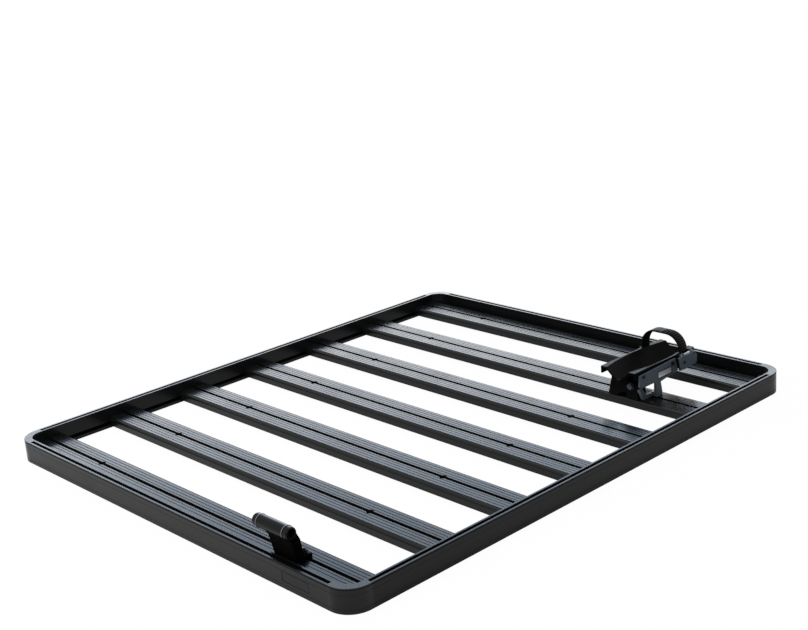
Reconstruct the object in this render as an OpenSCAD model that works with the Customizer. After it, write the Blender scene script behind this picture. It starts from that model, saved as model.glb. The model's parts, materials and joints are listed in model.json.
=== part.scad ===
// Roof tray for a vehicle with a carrier for one bicycle: a perimeter frame of slotted rails,
// seven slotted slats, a front mount for a fork axle and a rear wheel holder with a ratchet strap.
// The origin is the middle of the tray on the plane of the rails' undersides. X runs across the
// vehicle, Y from the front end to the rear end, Z up. All sizes are in millimetres.

/* [Tray] */
// Outer width of the tray across the vehicle
tray_w = 1140; // [1000:10:1400]
// Distance from one slat slot to the next
slat_pitch = 202; // [170:1:240]
// Distance from an end face of the tray to the nearest slat slot
end_margin = 70; // [64:1:100]
// Outer radius of the rounded corners
corner_r = 50; // [36:1:60]
// Straight length at each end of a corner piece
corner_stub = 7; // [4:1:16]

/* [Rail] */
// Height of the perimeter rail
rail_h = 50; // [46:1:60]
// Width of the perimeter rail
rail_w = 18; // [16:0.5:22]
// Opening of the slot along the top of the rail
rail_slot_w = 8.4; // [6:0.2:10]
// Thickness of the lips beside the rail's top slot
rail_lip = 2; // [1.5:0.25:3]
// Depth of the chamber below the lips
rail_chamber_d = 10; // [8:0.5:11]
// Wall thickness of the rail
rail_wall = 2.5; // [2:0.25:3.5]
// Radius on the long edges of the rail
rail_edge_r = 0.8; // [0.4:0.1:1]
// Opening of the slot along the inner face of the rail
inner_slot_w = 9; // [8:0.5:10]
// Width of the fine grooves along the outer face
face_groove_w = 0.8; // [0.6:0.1:1.6]
// Depth of the fine grooves along the outer face
face_groove_d = 0.3; // [0.2:0.1:1]
// Width of the shadow groove below the rail's upper outer edge
edge_groove_w = 2.2; // [1:0.2:2.6]
// Depth of the shadow groove below the rail's upper outer edge
edge_groove_d = 1; // [0.4:0.1:1.4]

/* [Slat] */
// Width of a slat along the vehicle
slat_w = 84; // [78:1:90]
// Thickness of a slat
slat_h = 20; // [19:0.5:24]
// Height of the slats' undersides above the rails' undersides
slat_lift = 7; // [5:0.5:10]
// Radius on the upper long edges of a slat
slat_edge_r = 8; // [4:0.5:10]
// Opening of the slot along a slat
slat_slot_w = 8.4; // [8.2:0.1:9]
// Width of the chamber below a slat's slot
slat_chamber_w = 13.6; // [13.4:0.1:14.2]
// Depth of the chamber below a slat's upper slot
slat_chamber_d = 8; // [7:0.25:8.25]
// Thickness of the lips beside a slat's slots
slat_lip = 2; // [1.75:0.25:2.25]
// Depth of the chamber above a slat's lower slot
slat_low_chamber_d = 6; // [5:0.25:6.25]
// Distance of the drop-in gates from the slat's ends
gate_in = 228; // [120:1:360]
// Diameter of the drop-in gates in a slat's slot
gate_d = 15.6; // [15.4:0.1:16.4]
// Distance from one fine groove on a slat to the next
groove_pitch = 8.6; // [6:0.2:9]
// Distance of the first fine groove from the slot's middle
groove_first = 9.9; // [8:0.1:11]
// Width of the fine grooves on a slat
groove_w = 1.8; // [1:0.2:3]
// Depth of the fine grooves on a slat
groove_d = 0.9; // [0.4:0.1:1.5]

/* [Fork mount] */
// Distance of the fork mount's middle from the tray's right side
fork_in = 218; // [90:1:900]
// Length of the fork barrel with its end adapters
axle_span = 100; // [94:1:118]
// Diameter of the thru-axle that the adapters take
axle_d = 15; // [12:0.5:15]
// Outer diameter of the barrel
barrel_d = 26; // [25:0.5:30]
// Height of the barrel's axis above the slat
barrel_z = 76; // [68:1:90]
// Distance of the barrel's axis in front of the slat's slot
barrel_lead = 49; // [44:1:52]
// Width of the fork bracket
fork_w = 71; // [62:1:71]
// Thickness of the bracket's foot
fork_foot_t = 8; // [6:0.5:10]
// Distance between the two bolts in the foot
fork_bolt_gap = 32; // [28:1:36]

/* [Wheel holder] */
// Distance of the wheel holder's middle from the tray's right side
holder_in = 219; // [90:1:900]
// Length of the wheel cradle along the vehicle
cradle_l = 225; // [200:1:240]
// Width of the wheel cradle
cradle_w = 96; // [90:1:104]
// Distance of the cradle's middle behind the slat's slot
cradle_back = 45; // [38:1:50]
// Radius of the cradle's hollow along the wheel
cradle_curve_r = 600; // [450:10:900]
// Height of the cradle's floor above the slat
cradle_floor_z = 40; // [38:0.5:44]
// Height of the cradle's deck above the slat
cradle_deck_z = 75; // [72:0.5:78]
// Wall thickness of the cradle
cradle_t = 4; // [3:0.25:5]
// Height of the lips down the cradle's sides
cradle_lip_h = 17; // [14:0.5:20]
// Length of the base's upright block along the vehicle
base_l = 30; // [26:1:31]
// Distance between the two bolts in the base
base_bolt_gap = 36; // [30:1:40]
// Thickness of the grey side bracket
bracket_t = 5; // [4:0.5:6]

/* [Strap and buckle] */
// Width of the ladder strap
strap_w = 28; // [24:0.5:30]
// Thickness of the ladder strap without its ribs
strap_t = 4; // [3:0.25:4.5]
// Height of the strap's top above the slat
strap_top_z = 121; // [112:1:140]
// Outer radius of the strap's bends
strap_bend_r = 40; // [30:1:44]
// Distance from one strap rib to the next
rib_pitch = 6; // [5:0.5:8]
// Thickness of a strap rib
rib_t = 2.5; // [2:0.25:2.75]
// Height of a strap rib
rib_h = 1.6; // [1.2:0.1:2]
// Distance of the strap's middle behind the slat's slot
strap_back = 107; // [104:1:112]
// Length of the ratchet lever's plate along the vehicle
lever_l = 70; // [66:1:76]
// Height of the ratchet lever's plate
lever_h = 30; // [28:0.5:34]
// Diameter of the lever's and the pawls' pins
pin_d = 5; // [4:0.25:5]

/* [Hidden] */
$fn = 96;

slat_count = 7;
tray_l = (slat_count - 1) * slat_pitch + 2 * end_margin;
corner_leg = corner_r + corner_stub;
slat_len = tray_w - 2 * rail_w;
slat_top = slat_lift + slat_h;
gate_x = slat_len / 2 - gate_in;
fork_x = tray_w / 2 - fork_in;
holder_x = tray_w / 2 - holder_in;
function slat_y(i) = (i - (slat_count + 1) / 2) * slat_pitch;

// Clearances
seat_gap = 0.1;    // between pieces that are bolted or sleeved together
run_gap = 0.05;    // radial, between a pin and its hole
slide_gap = 0.3;   // between pieces that move past each other

// Rail section, measured from its outer face and from its underside
rail_chamber_z = rail_h - rail_lip - rail_chamber_d;
inner_slot_z = slat_lift + 5;
inner_chamber_h = 17;
inner_chamber_d = 8;
inner_lip = 3;
hollow_z = inner_slot_z + inner_chamber_h / 2 + 4.5;
hollow_h = rail_chamber_z - 2 - hollow_z;
spigot_len = 36;
set_screw_d = 6;
set_screw_at = 18;
face_groove_z = [9, rail_h - 13];
edge_groove_z = rail_h - 2.3;

// Badge recess on the front rail
badge_l = 76;
badge_h = 20;
badge_d = 1;
badge_x = tray_w / 2 - corner_leg - 48 - badge_l / 2;

// Screws at the slats' ends
slat_bore_d = 6.9;
slat_bore_v = 13;
slat_screw_len = 30;
slat_screw_head_d = 13;
slat_screw_head_h = 5;

// Bolts, washers and nuts of the two holders
bolt_d = 8;
bolt_hole_d = 8.6;
head_h = 5.3;
washer_d = 16;
washer_t = 1.6;
nut_af = 13;
nut_h = 6.5;
bolt_proud = 3;

// Fork bracket, in the Y and Z of its slat's slot
barrel_wall = 3.5;
adapter_lip = 12;
ring_w = 2;
ring_proud = 0.6;
adapter_plug = 14;
neck_front = -30;
neck_rear = -10;
neck_bend_z = 48;
neck_w = min(fork_w, axle_span - 2 * adapter_lip - 2 * ring_w - 1);
neck_foot_w = neck_w - 6;
neck_lean = 9;
foot_rear = 11;
foot_half = fork_bolt_gap / 2 + 11;

// Wheel holder
holder_y = slat_y(6);
half_w = cradle_w / 2;
groove_floor = 4;
groove_rise = cradle_deck_z - cradle_floor_z;
base_front = -42;
base_left = -half_w - 1;
base_right = 36;
base_half_high = 36;
base_top_z = cradle_floor_z + 13;
arch_h = 12;
base_flange_t = 8;
base_flange_rear = 14;
hex_af = 13;
hex_h = 5.5;
hex_x = 18;
hex_z = 32;
screw_d = 5;
screw_head_d = 9;
screw_head_h = 2.6;
screw_seat = 0.6;

// Side bracket, in Y from the slat's slot and Z above the slat
plate_front = -56;
plate_rear = 80;
plate_low = 35;
plate_high = cradle_deck_z - 9;
label_l = 48;
label_h = 13;
label_t = 0.8;
label_rim = 2;
leg_front = 2;
leg_rear = 22;
leg_top = plate_low - 4;
leg_out = half_w + 9;
claw_in = base_right + 0.2;
claw_t = 8;
label_y = 38;
label_z = 48;

// Buckle, in X from the holder's middle and Z above the slat
frame_t = 2.5;
strap_in = half_w + frame_t + 0.5;
strap_out = strap_in + strap_t;
rib_out = strap_out + rib_h;
cheek_in = strap_w / 2 + 3.5;
cheek_t = 2.5;
cheek_out_x = strap_out + 11;
lever_px = strap_out + 7.5;
lever_pz = cradle_deck_z + 1;
lever_x = cheek_out_x + 0.5;
frame_low = lever_pz - 33;
frame_high = lever_pz + 5.5;
frame_ear = 44;
lever_t = 3;
ear_t = 3;
ear_out = cheek_in - 0.5;
drive_px = lever_px - 0.5;
drive_pz = lever_pz - 8.5;
lock_px = strap_out + 6;
lock_pz = lever_pz - 26.5;
tooth_z = lock_pz + 6.05;
tooth_t = 1.6;
drive_half = 8;
lock_half = 10;
strap_low = frame_low - 8;
eye_r = 4.5;
anchor_pin_d = 4;
anchor_z = cradle_deck_z - 14;
strap_mid_x = (strap_in + strap_out) / 2;

// Colours
c_black = [0.09, 0.09, 0.10];
c_cast = [0.16, 0.17, 0.18];
c_grey = [0.27, 0.29, 0.31];
c_steel = [0.72, 0.73, 0.74];
c_rubber = [0.05, 0.05, 0.05];

// Helpers: a profile swept along Y, a profile swept along X, and an upright rounded rectangle
module along_y(y0, y1) {
    translate([0, y1, 0]) rotate([90, 0, 0]) linear_extrude(y1 - y0) children();
}

module along_x(x0, x1) {
    translate([x0, 0, 0]) rotate([90, 0, 90]) linear_extrude(x1 - x0) children();
}

module rounded(w, h, r) {
    translate([r, 0]) square([w - 2 * r, h]);
    translate([0, r]) square([w, h - 2 * r]);
    for (x = [r, w - r], y = [r, h - r])
        translate([x, y]) circle(r);
}

module rod_x(x0, x1, d) {
    translate([x0, 0, 0]) rotate([0, 90, 0]) cylinder(h = x1 - x0, d = d);
}

module rod_y(y0, y1, d) {
    translate([0, y0, 0]) rotate([-90, 0, 0]) cylinder(h = y1 - y0, d = d);
}

// Tray

// Outline of the rail with its outer grooves; the outer face is at the left
module rail_outline() {
    difference() {
        rounded(rail_w, rail_h, rail_edge_r);
        for (z = face_groove_z)
            translate([-1, z - face_groove_w / 2]) square([1 + face_groove_d, face_groove_w]);
        translate([-1, edge_groove_z - edge_groove_w / 2])
            square([1 + edge_groove_d, edge_groove_w]);
    }
}

// Slots and hollow of the extruded rail
module rail_voids() {
    translate([(rail_w - rail_slot_w) / 2, rail_h - rail_lip - 1])
        square([rail_slot_w, rail_lip + 2]);
    translate([rail_wall, rail_chamber_z])
        square([rail_w - 2 * rail_wall, rail_chamber_d]);
    translate([rail_wall, hollow_z])
        square([rail_w - 2 * rail_wall, hollow_h]);
    translate([rail_w - inner_lip - 1, inner_slot_z - inner_slot_w / 2])
        square([inner_lip + 2, inner_slot_w]);
    translate([rail_w - inner_lip - inner_chamber_d, inner_slot_z - inner_chamber_h / 2])
        square([inner_chamber_d, inner_chamber_h]);
}

module rail_section() {
    difference() {
        rail_outline();
        rail_voids();
    }
}

// Holes for the set screws near both ends of a rail of this length, on its inner face
module set_screw_holes(len) {
    for (s = [-1, 1])
        translate([rail_w - rail_wall - 1, s * (len / 2 - set_screw_at), hollow_z + hollow_h / 2])
            rod_x(0, rail_wall + 2, set_screw_d + 2 * run_gap);
}

// A rail that runs along Y with its outer face on the plane X = 0
module rail(len) {
    difference() {
        along_y(-len / 2, len / 2) rail_section();
        set_screw_holes(len);
    }
}

module side_rail() {
    color(c_black) translate([-tray_w / 2, 0, 0]) rail(tray_l - 2 * corner_leg);
}

module end_rail() {
    rotate([0, 0, 90]) translate([-tray_l / 2, 0, 0]) rail(tray_w - 2 * corner_leg);
}

module left_rail() {
    side_rail();
}

module right_rail() {
    mirror([1, 0, 0]) side_rail();
}

module rear_rail() {
    color(c_black) mirror([0, 1, 0]) end_rail();
}

module front_rail() {
    color(c_black) difference() {
        end_rail();
        translate([badge_x - badge_l / 2, -tray_l / 2 - 1, (rail_h - badge_h) / 2])
            cube([badge_l, badge_d + 1, badge_h]);
    }
}

module badge_plate() {
    plate = [badge_l - 2, badge_d - 0.2, badge_h - 2];
    color(c_cast)
        translate([badge_x - plate.x / 2, -tray_l / 2 + badge_d - plate.y, (rail_h - plate.z) / 2])
            cube(plate);
}

// A plug at one end of a corner piece that fills the rail's hollow
module spigot() {
    difference() {
        translate([rail_wall + seat_gap, 0, hollow_z + seat_gap])
            cube([rail_w - 2 * rail_wall - 2 * seat_gap, spigot_len, hollow_h - 2 * seat_gap]);
        translate([rail_w / 2, set_screw_at, hollow_z + hollow_h / 2])
            rod_x(0, rail_w, set_screw_d + 2 * run_gap);
    }
}

// Section of a corner piece: closed on top, with a pocket from below
module corner_section() {
    difference() {
        rail_outline();
        translate([rail_wall + 1, -1]) square([rail_w - 2 * rail_wall - 2, hollow_z - 2]);
    }
}

// The front left corner piece
module corner() {
    color(c_cast) translate([-tray_w / 2, -tray_l / 2, 0]) {
        translate([corner_r, corner_r, 0]) rotate([0, 0, 180]) rotate_extrude(angle = 90)
            translate([corner_r, 0]) mirror([1, 0]) corner_section();
        along_y(corner_r, corner_leg) corner_section();
        translate([0, corner_leg, 0]) spigot();
        mirror([1, -1, 0]) {
            along_y(corner_r, corner_leg) corner_section();
            translate([0, corner_leg, 0]) spigot();
        }
    }
}

module corner_front_left() {
    corner();
}

module corner_front_right() {
    mirror([1, 0, 0]) corner();
}

module corner_rear_left() {
    mirror([0, 1, 0]) corner();
}

module corner_rear_right() {
    mirror([1, 0, 0]) mirror([0, 1, 0]) corner();
}

// One set screw, its socket towards +X
module set_screw() {
    len = rail_wall + 5;
    translate([rail_w - len, 0, hollow_z + hollow_h / 2]) difference() {
        rod_x(0, len, set_screw_d);
        translate([len - 3, 0, 0]) rotate([0, 90, 0]) cylinder(h = 4, d = 3.4, $fn = 6);
    }
}

module corner_set_screws() {
    color(c_steel) for (mx = [0, 1], my = [0, 1])
        mirror([mx, 0, 0]) mirror([0, my, 0]) translate([-tray_w / 2, -tray_l / 2, 0]) {
            translate([0, corner_leg + set_screw_at, 0]) set_screw();
            mirror([1, -1, 0]) translate([0, corner_leg + set_screw_at, 0]) set_screw();
        }
}

// Slat section across the slat: slots above and below, side hollows, screw bores, fine grooves
module slat_section() {
    difference() {
        translate([-slat_w / 2, 0]) slat_outline();
        translate([-slat_slot_w / 2, slat_h - slat_lip - 1]) square([slat_slot_w, slat_lip + 2]);
        translate([-slat_chamber_w / 2, slat_h - slat_lip - slat_chamber_d])
            square([slat_chamber_w, slat_chamber_d]);
        translate([-slat_slot_w / 2, -1]) square([slat_slot_w, slat_lip + 2]);
        translate([-slat_chamber_w / 2, slat_lip]) square([slat_chamber_w, slat_low_chamber_d]);
        for (s = [-1, 1]) {
            translate([s * slat_bore_v, inner_slot_z - slat_lift]) circle(d = slat_bore_d);
            translate([s * (slat_w / 2 - 14) - 9, 3]) square([18, slat_h - 8]);
            for (i = [0 : 3])
                translate([s * (groove_first + i * groove_pitch) - groove_w / 2, slat_h - groove_d])
                    square([groove_w, groove_d + 1]);
        }
    }
}

module slat_outline() {
    square([slat_w, slat_h - slat_edge_r]);
    translate([slat_edge_r, 0]) square([slat_w - 2 * slat_edge_r, slat_h]);
    for (x = [slat_edge_r, slat_w - slat_edge_r])
        translate([x, slat_h - slat_edge_r]) circle(slat_edge_r);
}

module slat(i) {
    color(c_black) difference() {
        translate([0, slat_y(i), slat_lift]) along_x(-slat_len / 2, slat_len / 2) slat_section();
        for (s = [-1, 1])
            translate([s * gate_x, slat_y(i), slat_top - slat_lip - 1])
                cylinder(h = slat_lip + 2, d = gate_d);
        if (i == 1) corner_reliefs();
        if (i == slat_count) mirror([0, 1, 0]) corner_reliefs();
    }
}

// Room for the inner bends of the two front corner pieces
module corner_reliefs() {
    for (m = [0, 1])
        mirror([m, 0, 0]) translate([-tray_w / 2 + corner_r, -tray_l / 2 + corner_r, 0])
            linear_extrude(rail_h) difference() {
                translate([-corner_r, -corner_r]) square(corner_r);
                circle(corner_r - rail_w - seat_gap);
            }
}

// Screws whose heads sit in the side rails' inner slots; the end slats have one at each end
module slat_screws() {
    color(c_steel) for (m = [0, 1], i = [1 : slat_count], s = [-1, 1])
        if (!(i == 1 && s < 0) && !(i == slat_count && s > 0))
            mirror([m, 0, 0])
                translate([-tray_w / 2 + rail_w, slat_y(i) + s * slat_bore_v, inner_slot_z]) {
                    rod_x(-inner_lip - 0.5, slat_screw_len, slat_bore_d - 2 * seat_gap);
                    rod_x(-inner_lip - slat_screw_head_h, -inner_lip - seat_gap, slat_screw_head_d);
                }
}

// Bolt, washer and nut in a slat's slot, standing on the plane Z = 0 of the slat's top
module slot_bolt(foot_t) {
    top = seat_gap + foot_t + washer_t + nut_h + bolt_proud;
    head_z = -slat_lip - slide_gap;
    cylinder(h = top, d = bolt_d);
    translate([0, 0, head_z - 1]) cylinder(h = 1 - head_z, d = bolt_d);
    // The head's flats face the chamber's walls, so the bolt can't turn
    translate([0, 0, head_z - head_h]) cylinder(h = head_h, d = nut_af / cos(30), $fn = 6);
}

module slot_washer(foot_t) {
    translate([0, 0, seat_gap + foot_t]) difference() {
        cylinder(h = washer_t, d = washer_d);
        translate([0, 0, -1]) cylinder(h = washer_t + 2, d = bolt_d + 2 * seat_gap);
    }
}

module slot_nut(foot_t) {
    translate([0, 0, seat_gap + foot_t + washer_t]) difference() {
        cylinder(h = nut_h, d = nut_af / cos(30), $fn = 6);
        translate([0, 0, -1]) cylinder(h = nut_h + 2, d = bolt_d + 2 * run_gap);
    }
}

// Fork mount, in a frame at its slat's slot on the slat's top

module at_fork() {
    translate([fork_x, slat_y(1), slat_top]) children();
}

module fork_pair() {
    for (s = [-1, 1])
        translate([s * fork_bolt_gap / 2, 0, 0]) children();
}

// Side view of the neck: it leans forward and ends in a hollow seat under and behind the barrel
module neck_side() {
    difference() {
        polygon([[neck_front, seat_gap], [neck_rear, seat_gap], [neck_rear - neck_lean, neck_bend_z],
                 [-barrel_lead + barrel_d * 0.55, barrel_z + barrel_d * 0.2], [-barrel_lead, barrel_z],
                 [-barrel_lead - barrel_d * 0.18, barrel_z - barrel_d * 0.3],
                 [neck_front - neck_lean, neck_bend_z]]);
        translate([-barrel_lead, barrel_z]) circle(barrel_d / 2 + run_gap);
    }
}

module fork_bracket() {
    color(c_black) at_fork() difference() {
        union() {
            intersection() {
                along_x(-neck_w / 2, neck_w / 2) neck_side();
                along_y(-2 * barrel_lead, barrel_lead)
                    polygon([[-neck_foot_w / 2, 0], [neck_foot_w / 2, 0], [neck_w / 2, neck_bend_z],
                             [neck_w / 2, barrel_z + barrel_d], [-neck_w / 2, barrel_z + barrel_d],
                             [-neck_w / 2, neck_bend_z]]);
            }
            translate([-foot_half, neck_rear - 2, seat_gap])
                cube([2 * foot_half, foot_rear - neck_rear + 2, fork_foot_t]);
        }
        fork_pair() cylinder(h = 3 * fork_foot_t, d = bolt_hole_d, center = true);
        // Lightening hollow from below
        translate([-neck_foot_w / 2 + 6, neck_front + 5, -1])
            cube([neck_foot_w - 12, neck_rear - neck_front - 11, 26]);
    }
}

module at_barrel() {
    at_fork() translate([0, -barrel_lead, barrel_z]) children();
}

barrel_half = axle_span / 2 - adapter_lip - ring_w;

module fork_barrel() {
    color(c_black) at_barrel() difference() {
        rod_x(-barrel_half, barrel_half, barrel_d);
        rod_x(-axle_span, axle_span, barrel_d - 2 * barrel_wall);
    }
}

// Bright rings between the barrel and its adapters
module barrel_rings() {
    color(c_steel) at_barrel() for (m = [0, 1])
        mirror([m, 0, 0]) difference() {
            rod_x(barrel_half, barrel_half + ring_w, barrel_d + 2 * ring_proud);
            rod_x(barrel_half - 1, barrel_half + ring_w + 1, barrel_d - 2 * barrel_wall);
        }
}

// End adapter with a shouldered plug and the thru-axle bore
module adapter() {
    color(c_cast) at_barrel() difference() {
        union() {
            rod_x(barrel_half + ring_w, axle_span / 2 - 2, barrel_d - 1);
            rod_x(axle_span / 2 - 2, axle_span / 2, barrel_d - 3);
            rod_x(barrel_half - adapter_plug, barrel_half + ring_w + 1,
                  barrel_d - 2 * barrel_wall - 2 * seat_gap);
        }
        rod_x(0, axle_span, axle_d + 2 * run_gap);
    }
}

module adapter_right() {
    adapter();
}

module adapter_left() {
    translate([2 * fork_x, 0, 0]) mirror([1, 0, 0]) adapter();
}

module fork_bolts() {
    color(c_steel) at_fork() fork_pair() slot_bolt(fork_foot_t);
}

module fork_washers() {
    color(c_steel) at_fork() fork_pair() slot_washer(fork_foot_t);
}

module fork_nuts() {
    color(c_steel) at_fork() fork_pair() slot_nut(fork_foot_t);
}

// Wheel holder, in a frame at its slat's slot on the slat's top

module at_holder() {
    translate([holder_x, holder_y, slat_top]) children();
}

module base_pair() {
    for (s = [-1, 1])
        translate([s * base_bolt_gap / 2, 0, 0]) children();
}

// Ring sector swept round the wheel's axis: its profile is given in depth below the axis and X
module swept_groove(extra, rise) {
    sweep = 2 * asin(cradle_l / 2 / (cradle_curve_r - rise) * 1.1);
    slope = (half_w - cradle_t - groove_floor) / groove_rise;
    lift = rise + 30;
    low = cradle_curve_r + extra;
    side = groove_floor + extra * 0.6;
    translate([0, cradle_back, cradle_floor_z + cradle_curve_r])
        rotate([0, 90, 0]) rotate([0, 0, -sweep / 2]) rotate_extrude(angle = sweep, $fn = 180)
            polygon([[low, -side], [low, side],
                     [low - lift, side + slope * lift], [low - lift, -side - slope * lift]]);
}

module wheel_cradle() {
    y0 = cradle_back - cradle_l / 2;
    y1 = cradle_back + cradle_l / 2;
    color(c_rubber) at_holder() difference() {
        union() {
            intersection() {
                swept_groove(cradle_t, groove_rise);
                translate([-half_w, y0, 0]) cube([cradle_w, cradle_l, cradle_deck_z]);
            }
            translate([-half_w, y0, cradle_deck_z - cradle_t]) cube([cradle_w, cradle_l, cradle_t]);
            for (s = [-1, 1])
                translate([s * (half_w - cradle_t / 2) - cradle_t / 2, y0, cradle_deck_z - cradle_lip_h])
                    cube([cradle_t, cradle_l, cradle_lip_h]);
        }
        swept_groove(0, groove_rise);
        cradle_screw_places() {
            cylinder(h = 3 * cradle_t, d = screw_d + 2 * seat_gap, center = true);
            translate([0, 0, screw_seat]) cylinder(h = cradle_t + screw_head_h, d = screw_head_d + 1);
        }
        bracket_screw_places() rod_x(-2 * cradle_t, 2 * cradle_t, screw_d + 2 * seat_gap);
        buckle_screw_places() rod_x(-2 * cradle_t, 2 * cradle_t, screw_d + 2 * seat_gap);
        anchor_screw_places() rod_x(-2 * cradle_t, 2 * cradle_t, screw_d + 2 * seat_gap);
    }
}

// Height of the cradle's floor at a distance behind the slat's slot
function floor_at(y) = cradle_floor_z + cradle_curve_r
    - sqrt(pow(cradle_curve_r, 2) - pow(y - cradle_back, 2));

module cradle_screw_places() {
    for (y = [base_front + 7, base_front + base_l - 7])
        translate([0, y, floor_at(y)]) children();
}

module bracket_screw_places() {
    for (y = [plate_front + 14, plate_rear - 14])
        translate([half_w, y, plate_high - 4.5]) children();
}

module buckle_screw_places() {
    for (y = [cheek_in + 8, frame_ear - 6])
        translate([half_w, strap_back + y, cradle_deck_z - cradle_lip_h / 2]) children();
}

module anchor_screw_places() {
    for (s = [-1, 1])
        translate([-half_w, strap_back + s * (cheek_in + 7), cradle_deck_z - cradle_lip_h / 2]) children();
}

// Button-head screw along X, its head towards +X on the plane X = 0
module side_screw(len) {
    rod_x(-len, 0.5, screw_d);
    difference() {
        rod_x(0, screw_head_h, screw_head_d);
        translate([screw_head_h - 1.4, 0, 0]) rotate([0, 90, 0]) cylinder(h = 2, d = 3.4, $fn = 6);
    }
}

module cradle_screws() {
    color(c_steel) at_holder() cradle_screw_places() {
        translate([0, 0, screw_seat + seat_gap]) cylinder(h = screw_head_h, d = screw_head_d);
        translate([0, 0, -cradle_t - 9]) cylinder(h = cradle_t + 10, d = screw_d);
    }
}

// Moulded block under the cradle's front part with a low arch, and a foot with the slot bolts
module holder_base() {
    color(c_rubber) at_holder() difference() {
        union() {
            along_y(base_front, base_front + base_l)
                polygon([[base_left, seat_gap], [base_right, seat_gap],
                         [base_right, cradle_floor_z - 3], [0, cradle_floor_z + 5],
                         [-20, base_top_z], [-base_half_high, base_top_z]]);
            translate([base_left + 12, base_front + base_l - 1, seat_gap])
                cube([base_right - base_left - 12, base_flange_rear - base_front - base_l + 1,
                      base_flange_t]);
        }
        along_y(base_front - 1, base_front + base_l - 6)
            polygon([[base_left + 19, -1], [4, -1], [2, arch_h], [-8, arch_h]]);
        swept_groove(cradle_t + seat_gap, groove_rise);
        base_pair() cylinder(h = 3 * base_flange_t, d = bolt_hole_d, center = true);
        cradle_screw_places() translate([0, 0, -cradle_t - 10]) cylinder(h = 20, d = screw_d + 2 * seat_gap);
        translate([hex_x, base_front - 1, hex_z]) rod_y(0, 20, bolt_d + 2 * run_gap);
    }
}

// Bright hexagon bolt with its washer on the front of the base
module clamp_bolt() {
    color(c_steel) at_holder() translate([hex_x, base_front, hex_z]) {
        rod_y(-washer_t - 1, 16, bolt_d);
        rod_y(-washer_t, 0, washer_d);
        translate([0, -washer_t - hex_h, 0]) rotate([-90, 0, 0])
            cylinder(h = hex_h, d = hex_af / cos(30), $fn = 6);
    }
}

module holder_bolts() {
    color(c_steel) at_holder() base_pair() slot_bolt(base_flange_t);
}

module holder_washers() {
    color(c_steel) at_holder() base_pair() slot_washer(base_flange_t);
}

module holder_nuts() {
    color(c_steel) at_holder() base_pair() slot_nut(base_flange_t);
}

// Grey plate on the cradle's side with a splayed leg on the slat and a claw in front of it
module side_bracket() {
    color(c_grey) at_holder() difference() {
        union() {
            along_x(half_w, half_w + bracket_t)
                polygon([[plate_front, plate_low + 5], [plate_front + 2, plate_high],
                         [plate_rear, plate_high + 4], [plate_rear + 8, plate_low + 4],
                         [leg_rear, leg_top], [leg_front, leg_top],
                         [leg_front - 2, plate_low], [plate_front + 8, plate_low]]);
            // Leg: its lower end stands further out than the plate
            along_y(leg_front, leg_rear)
                polygon([[half_w, leg_top + 8], [half_w + bracket_t, leg_top + 8],
                         [half_w + bracket_t, leg_top], [leg_out, claw_t], [leg_out, seat_gap],
                         [claw_in, seat_gap], [claw_in, claw_t], [half_w, claw_t + 2]]);
            along_x(claw_in, claw_in + claw_t)
                polygon([[leg_front + 1, seat_gap], [leg_front + 1, claw_t], [-22, claw_t + 1],
                         [-36, 30], [-45, 27], [-32, seat_gap]]);
        }
        bracket_screw_places() rod_x(-bracket_t, 2 * bracket_t, screw_d + 2 * seat_gap);
        at_label() translate([0, -label_rim, -label_rim])
            cube([label_t + 1, label_l + 2 * label_rim, label_h + 2 * label_rim]);
    }
}

module bracket_screws() {
    color(c_steel) at_holder() bracket_screw_places()
        translate([bracket_t, 0, 0]) side_screw(bracket_t + cradle_t + 1);
}

// Front lower corner of the label, on the floor of its recess
module at_label() {
    translate([half_w + bracket_t - label_t, label_y - label_l / 2, label_z - label_h / 2]) children();
}

module label_plate() {
    color(c_steel) at_holder() at_label() cube([label_t, label_l, label_h]);
}

// Strap and buckle, in a frame at the strap's middle on the slat's top

module at_strap() {
    at_holder() translate([0, strap_back, 0]) children();
}

// Filled arch of half width w with bends of radius r under a flat top
module arch(w, top, r) {
    translate([-w, 0]) square([2 * w, top - r]);
    translate([-w + r, 0]) square([2 * w - 2 * r, top]);
    for (s = [-1, 1])
        translate([s * (w - r), top - r]) circle(r);
}

// Place and turn of the strap's outer face at a distance s up from the tail
strap_rise = strap_top_z - strap_bend_r - strap_low;
strap_quarter = strap_bend_r * PI / 2;
function bend_angle(s) = s < strap_rise ? 90 : max(0, 90 - (s - strap_rise) / strap_quarter * 90);
function outer_x(s) = strap_out - strap_bend_r + strap_bend_r * sin(bend_angle(s))
    - max(0, s - strap_rise - strap_quarter);
function outer_z(s) = s < strap_rise ? strap_low + s
    : strap_top_z - strap_bend_r + strap_bend_r * cos(bend_angle(s));
rib_first = (tooth_z + rib_pitch / 2 - strap_low) % rib_pitch;
rib_count = floor((strap_rise + strap_quarter + strap_out - strap_bend_r - rib_first) / rib_pitch) + 1;

module strap() {
    color(c_rubber) at_strap() {
        difference() {
            union() {
                along_y(-strap_w / 2, strap_w / 2) difference() {
                    arch(strap_out, strap_top_z, strap_bend_r);
                    arch(strap_in, strap_top_z - strap_t, strap_bend_r - strap_t);
                    translate([0, -1]) square([2 * strap_out, strap_low + 1]);
                    translate([-2 * strap_out, -1]) square([2 * strap_out, anchor_z + 1]);
                }
                translate([-strap_mid_x, 0, anchor_z]) rod_y(-strap_w / 2, strap_w / 2, 2 * eye_r);
            }
            translate([-strap_mid_x, 0, anchor_z]) rod_y(-strap_w, strap_w, anchor_pin_d + 2 * run_gap);
        }
        for (i = [0 : rib_count - 1])
            let (s = rib_first + i * rib_pitch)
                translate([outer_x(s), 0, outer_z(s)]) rotate([0, bend_angle(s), 0])
                    translate([-rib_t / 2, -strap_w / 2 + 3, -0.4]) cube([rib_t, strap_w - 6, rib_h + 0.4]);
    }
}

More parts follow.
